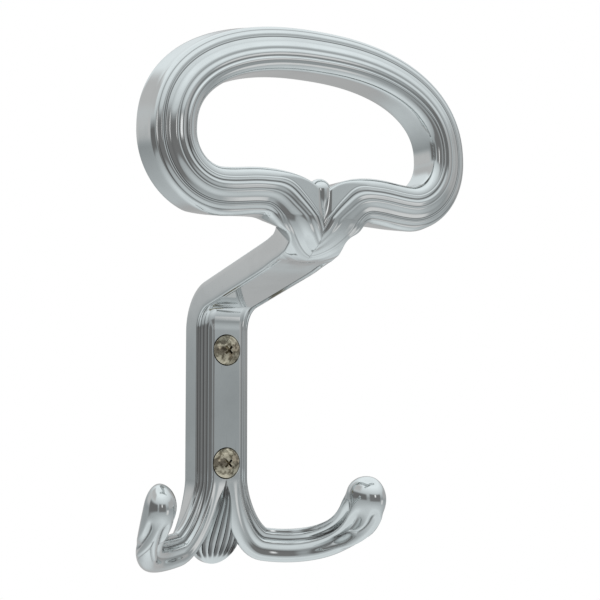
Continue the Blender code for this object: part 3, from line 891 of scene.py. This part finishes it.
def metal_material(name, bright, marks_and_shade_tint, roughness, ripple, smudge_size, smudge_most):
    """Metal whose colour and gloss vary with handling and whose hollows carry painted shade, with a slight
    unevenness in its reflections.
    """
    if name in bpy.data.materials:
        return bpy.data.materials[name]
    material, tree = new_material(name)
    buffed = add_node(tree, 'ShaderNodeGroup', (-5, 0))
    buffed.node_tree = smudge_group()
    feed(tree, buffed, Smudge_size=smudge_size)
    smudge = buffed.outputs["Smudge"]
    # Painted shade: the hollow attribute darkens the colour in hollows, on top of the handling smudges
    hollow = add_node(tree, 'ShaderNodeAttribute', (-5, 2))
    hollow.attribute_name = "hollow"
    cover = add_node(tree, 'ShaderNodeMapRange', (-4, 1), Value=smudge, From_Min=SMUDGE_RANGE[0],
                     From_Max=SMUDGE_RANGE[1], To_Min=0.0, To_Max=smudge_most)
    marks_and_painted_shade = math_node(tree, (-3, 0), 'MAXIMUM', cover.outputs["Result"], hollow.outputs["Fac"])
    gloss = add_node(tree, 'ShaderNodeMapRange', (-2, 1), Value=smudge, From_Min=GLOSS_RANGE[0],
                     From_Max=GLOSS_RANGE[1], To_Min=roughness[0], To_Max=roughness[1])
    waves = add_node(tree, 'ShaderNodeBump', (-2, 2), Strength=1.0, Distance=ripple,
                     Height=buffed.outputs["Height"])
    feed(tree, tree.nodes["Principled BSDF"], Metallic=1, Roughness=gloss.outputs["Result"],
         Base_Color=colour_mix(tree, (-2, 0), marks_and_painted_shade, (*bright, 1), (*marks_and_shade_tint, 1)),
         Normal=waves.outputs["Normal"])
    return material


def bright_plate(casting):
    """Polished plate, with painted shade in its hollows."""
    return metal_material("Polished plate", casting.plate_tint, casting.painted_shade_tint, roughness=(0.05, 0.11),
                          ripple=0.01 * MM, smudge_size=90, smudge_most=0.08)


def screw_brass(screws):
    """Brass with much tarnish in small spots."""
    return metal_material("Tarnished brass", screws.brass_tint, screws.tarnish_tint, roughness=(0.10, 0.25),
                          ripple=0.02 * MM, smudge_size=800, smudge_most=0.85)


# Studio
def show_directly(tree, lit, shown, output):
    """Show one shader to the camera, in reflections and through clear materials, and another to the rest."""
    path = add_node(tree, 'ShaderNodeLightPath', (0, -2)).outputs
    seen = math_node(tree, (1, -2), 'MAXIMUM', path["Is Camera Ray"], path["Is Glossy Ray"])
    seen = math_node(tree, (2, -2), 'MAXIMUM', seen, path["Is Transmission Ray"])
    blend = add_node(tree, 'ShaderNodeMixShader', (3, 0))
    for socket, value in zip(blend.inputs, (seen, lit, shown)):
        put(tree, socket, value)
    feed(tree, tree.nodes[output], Surface=blend.outputs[0])


def floor_material(tint):
    """Pale floor that shows white."""
    material, tree = new_material("pale_floor")
    shader = tree.nodes["Principled BSDF"]
    feed(tree, shader, Base_Color=(*tint, 1), Roughness=0.9)
    glow = add_node(tree, 'ShaderNodeEmission', (0, 2), Color=WHITE, Strength=1.0)
    show_directly(tree, shader.outputs[0], glow.outputs[0], "Material Output")
    return material


def patch_group():
    """Mask of a soft-edged patch of the tent, round a direction."""
    inputs = dict.fromkeys(("Azimuth", "Elevation", *PATCH_SOCKETS), 0)
    tree = new_group("Soft patch", inputs, outputs=("Mask",))
    given = add_node(tree, 'NodeGroupInput', (0, 0)).outputs
    masks = []
    for row, (name, half) in enumerate((("azimuth", "Half width"), ("elevation", "Half height"))):
        apart = math_node(tree, (1, row), 'SUBTRACT', given[name.capitalize()], given["Centre " + name])
        near = math_node(tree, (2, row), 'WRAP', apart, 180, -180)
        size = math_node(tree, (3, row), 'ABSOLUTE', near)
        inside = math_node(tree, (4, row), 'SUBTRACT', given[half], size)
        soft = math_node(tree, (5, row), 'DIVIDE', inside, given["Softness"])
        fade = add_node(tree, 'ShaderNodeMapRange', (6, row), Value=soft, From_Min=-0.5, From_Max=0.5)
        fade.interpolation_type = 'SMOOTHSTEP'
        masks.append(fade.outputs["Result"])
    add_node(tree, 'NodeGroupOutput', (8, 0), Mask=math_node(tree, (7, 0), 'MULTIPLY', *masks))
    return tree


def tent_directions(tree):
    """Sockets for the azimuth and the elevation of a place on the tent, in degrees."""
    place = add_node(tree, 'ShaderNodeTexCoord', (-9, 0)).outputs["Object"]
    axes = add_node(tree, 'ShaderNodeSeparateXYZ', (-8, 0), Vector=place).outputs
    front = math_node(tree, (-7, 0), 'MULTIPLY', axes["Y"], -1)
    turn = math_node(tree, (-6, 0), 'ARCTAN2', axes["X"], front)
    height = math_node(tree, (-7, 1), 'DIVIDE', axes["Z"], TENT_RADIUS)
    rise = math_node(tree, (-6, 1), 'ARCSINE', height)
    return [math_node(tree, (-5, row), 'DEGREES', arc) for row, arc in enumerate((turn, rise))]


def tent_levels(tree, elevation):
    """Socket for the tent's brightness at each elevation."""
    ramp = add_node(tree, 'ShaderNodeValToRGB', (-3, 1),
                    Fac=math_node(tree, (-4, 1), 'MULTIPLY_ADD', elevation, 1 / 180, 0.5))
    stops = ramp.color_ramp.elements
    while len(stops) < len(TENT_LEVELS):
        stops.new(0.5)
    for stop, (degrees, level) in zip(stops, TENT_LEVELS):
        stop.position = degrees / 180 + 0.5
        stop.color = (*(level * part for part in TENT_TINT), 1)
    return ramp.outputs["Color"]


def tent_material():
    """Soft walls of a light tent, brighter above and dimmer at the sides, in patches."""
    material, tree = new_material("light_tent")
    azimuth, elevation = tent_directions(tree)
    shade = tent_levels(tree, elevation)
    group = patch_group()
    for row, (name, *sizes, level) in enumerate(TENT_PATCHES):
        patch = add_node(tree, 'ShaderNodeGroup', (-2, row))
        patch.node_tree = group
        patch.label = name
        feed(tree, patch, Azimuth=azimuth, Elevation=elevation, **dict(zip(PATCH_SOCKETS, sizes)))
        shade = colour_mix(tree, (-1, row), patch.outputs["Mask"], shade, (level, level, level, 1))
    glow = add_node(tree, 'ShaderNodeEmission', (0, 2), Color=shade, Strength=1.0)
    feed(tree, tree.nodes["Material Output"], Surface=glow.outputs[0])
    return material


def add_tent():
    """Round tent about the hook that shows in reflections only."""
    bm = bmesh.new()
    bmesh.ops.create_icosphere(bm, subdivisions=5, radius=TENT_RADIUS)
    tent = add_mesh("light_tent", bm, tent_material())
    tent.visible_camera = tent.visible_diffuse = tent.visible_shadow = False


def add_floor(studio):
    """Plain round floor, well below the hook."""
    bm = bmesh.new()
    bmesh.ops.create_circle(bm, cap_ends=True, segments=TURN_STEPS, radius=FLOOR_RADIUS)
    bmesh.ops.translate(bm, verts=bm.verts, vec=(0, 0, studio.floor_height))
    add_mesh("floor", bm, floor_material(studio.floor_tint))


def add_world():
    """Soft light from all round, and a white background."""
    world = bpy.data.worlds.new("White studio")
    bpy.context.scene.world = world
    world.use_nodes = True
    tree = world.node_tree
    ambient = tree.nodes["Background"]
    feed(tree, ambient, Color=AMBIENT_TINT, Strength=AMBIENT_STRENGTH)
    white = add_node(tree, 'ShaderNodeBackground', (1, 2), Color=WHITE, Strength=1.0)
    show_directly(tree, ambient.outputs[0], white.outputs[0], "World Output")


def add_softbox(name, place, size, watts):
    """Square lamp aimed at the hook, which doesn't show in reflections."""
    light = bpy.data.lights.new(name, 'AREA')
    light.size = size
    light.energy = watts
    lamp = add_object(name, light)
    lamp.location = place
    lamp.rotation_euler = (-Vector(place)).to_track_quat('-Z', 'Y').to_euler()
    lamp.visible_glossy = False


def add_camera(studio):
    """Camera at the photograph's viewing angle."""
    data = bpy.data.cameras.new("camera")
    data.sensor_width = SENSOR_WIDTH
    data.lens = studio.camera_lens
    data.clip_start = NEAREST_SEEN
    camera = add_object("camera", data)
    camera.location = studio.camera_place
    camera.rotation_euler = (pi / 2 + studio.camera_pitch, 0, -studio.camera_turn)
    bpy.context.scene.camera = camera


# Operators and panel
class COATHOOK_OT_casting(bpy.types.Operator):
    """Model the casting: the loop, neck, plate and hooks in one"""
    bl_idname = "coathook.casting"
    bl_label = "Casting"

    def execute(self, context):
        casting, screws = context.scene.coat_hook.casting, context.scene.coat_hook.screws
        bm = loft(band_rings(casting) + hook_rings(casting))
        join_mirror_image(bm)
        piece = add_piece("casting", bm, bright_plate(casting))
        for height in screw_heights(screws).values():
            hole = hole_shape(screws, casting)
            face_room(hole, height, casting)
            cut(piece, hole, CASTING_SHARP)
        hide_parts("hook_casting")
        return {'FINISHED'}


class COATHOOK_OT_bud(bpy.types.Operator):
    """Model the bud in the fork of the loop"""
    bl_idname = "coathook.bud"
    bl_label = "Bud"

    def execute(self, context):
        casting = context.scene.coat_hook.casting
        bm = bmesh.new()
        around, along = BUD_FACES
        bmesh.ops.create_uvsphere(bm, u_segments=around, v_segments=along, radius=casting.bud_radius)
        for vert in bm.verts:
            if vert.co.z < 0:
                depth = -vert.co.z / casting.bud_radius
                vert.co.z = -casting.bud_tail * depth
                vert.co.x *= 1 - BUD_TAPER * depth
        place = (0, casting.bud_radius - casting.bud_reach, casting.bud_height)
        bmesh.ops.translate(bm, verts=bm.verts, vec=place)
        add_piece("bud", bm, bright_plate(casting))
        return {'FINISHED'}


class COATHOOK_OT_tail(bpy.types.Operator):
    """Model the fluted tail between the hooks"""
    bl_idname = "coathook.tail"
    bl_label = "Fluted tail"

    def execute(self, context):
        casting = context.scene.coat_hook.casting
        bm = loft(tail_rings(casting))
        fill_ends(bm)
        # The flutes get a wider painted shade than the casting's hollows
        add_piece("fluted_tail", bm, bright_plate(casting), TAIL_SHARP, TAIL_PAINTED_SHADE_RADIUS)
        return {'FINISHED'}


class COATHOOK_OT_screws(bpy.types.Operator):
    """Model the two raised countersunk screws, with their threads"""
    bl_idname = "coathook.screws"
    bl_label = "Screws"

    def execute(self, context):
        casting, screws = context.scene.coat_hook.casting, context.scene.coat_hook.screws
        brass = screw_brass(screws)
        for name, height in screw_heights(screws).items():
            bm = spun(screw_profile(screws))
            face_room(bm, height, casting)
            head = add_piece(name + "_head", bm, brass)
            for turn in (pi / 4, -pi / 4):
                recess = recess_shape(screws, turn)
                face_room(recess, height, casting)
                cut(head, recess, SCREW_SHARP)
            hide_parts(name)
            thread = thread_shape(screws)
            face_room(thread, height, casting)
            add_piece(name + "_thread", thread, brass, SCREW_SHARP)
        return {'FINISHED'}


class COATHOOK_OT_studio(bpy.types.Operator):
    """Set up the pale floor, the soft light and the camera"""
    bl_idname = "coathook.studio"
    bl_label = "Studio"

    def execute(self, context):
        context.scene.view_settings.view_transform = 'Standard'
        studio = context.scene.coat_hook.studio
        add_floor(studio)
        add_world()
        add_tent()
        add_softbox("key_softbox", place=(-0.62, -0.05, 0.85), size=0.5, watts=3)
        add_camera(studio)
        return {'FINISHED'}


class COATHOOK_PT_panel(bpy.types.Panel):
    """List the pieces of the coat hook"""
    bl_idname = "COATHOOK_PT_panel"
    bl_label = "Coat hook"
    bl_space_type = 'VIEW_3D'
    bl_region_type = 'UI'
    bl_category = "Coat hook"

    def draw(self, context):
        for operator in OPERATORS:
            self.layout.operator(operator.bl_idname)


OPERATORS = (COATHOOK_OT_casting, COATHOOK_OT_bud, COATHOOK_OT_tail, COATHOOK_OT_screws, COATHOOK_OT_studio)
SETTINGS = (CastingSettings, ScrewSettings, StudioSettings, CoatHookSettings)
CLASSES = (*SETTINGS, *OPERATORS, COATHOOK_PT_panel)


def register():
    """Register the classes and give each scene its settings."""
    for cls in CLASSES:
        bpy.utils.register_class(cls)
    bpy.types.Scene.coat_hook = PointerProperty(type=CoatHookSettings)


def unregister():
    """Undo what register did."""
    del bpy.types.Scene.coat_hook
    for cls in reversed(CLASSES):
        bpy.utils.unregister_class(cls)


def main():
    """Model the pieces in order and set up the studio."""
    register()
    bpy.ops.coathook.casting()
    bpy.ops.coathook.bud()
    bpy.ops.coathook.tail()
    bpy.ops.coathook.screws()
    bpy.ops.coathook.studio()


if __name__ == "__main__":
    main()
